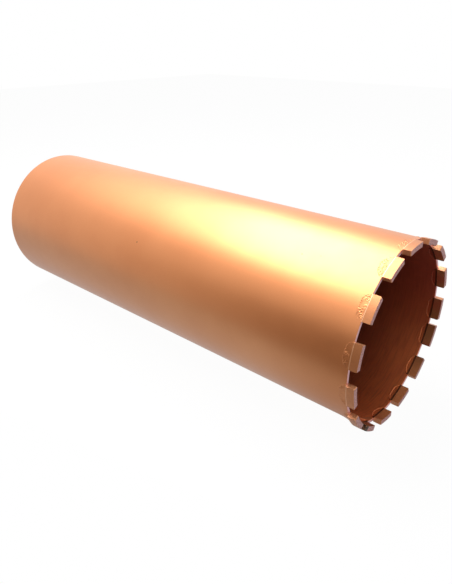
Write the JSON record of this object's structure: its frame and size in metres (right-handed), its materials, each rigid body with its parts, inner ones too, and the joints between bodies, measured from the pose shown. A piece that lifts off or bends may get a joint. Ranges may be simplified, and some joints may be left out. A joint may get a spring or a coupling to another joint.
{
  "type": "diamond core bit",
  "caption": "Wet core bit: a long steel barrel with diamond segments brazed round its open mouth and a threaded hub welded into its closed rear end.",
  "frame": {"origin": "on the axis at the segment tips, the plane that the bit stands on and drills with", "axes": "+Z along the axis towards the threaded hub; +X through the place of segment_01"},
  "size_m": [0.1518, 0.1527, 0.4857],
  "materials": {
    "barrel_paint": "copper metallic paint over steel, semi-gloss, darker and thinner inside the barrel",
    "rear_paint": "copper metallic paint over a steel plate and its weld beads",
    "hub_paint": "copper metallic paint over turned steel, with bare steel in the thread",
    "segment_paint": "copper metallic paint over sintered metal with diamond grit, slightly grainy",
    "solder_paint": "copper metallic paint over silver solder that ran out in uneven half-moons"
  },
  "bodies": {
    "root": {"barrel_tube": "barrel_paint", "rear_plate": "rear_paint", "rear_weld": "rear_paint", "hub": "hub_paint", "hub_weld": "rear_paint", "segment_01": "segment_paint", "segment_02": "segment_paint", "segment_03": "segment_paint", "segment_04": "segment_paint", "segment_05": "segment_paint", "segment_06": "segment_paint", "segment_07": "segment_paint", "segment_08": "segment_paint", "segment_09": "segment_paint", "segment_10": "segment_paint", "segment_11": "segment_paint", "segment_12": "segment_paint", "segment_13": "segment_paint", "segment_14": "segment_paint", "segment_15": "segment_paint", "solder_01": "solder_paint", "solder_02": "solder_paint", "solder_03": "solder_paint", "solder_04": "solder_paint", "solder_05": "solder_paint", "solder_06": "solder_paint", "solder_07": "solder_paint", "solder_08": "solder_paint", "solder_09": "solder_paint", "solder_10": "solder_paint", "solder_11": "solder_paint", "solder_12": "solder_paint", "solder_13": "solder_paint", "solder_14": "solder_paint", "solder_15": "solder_paint"}
  },
  "joints": []
}
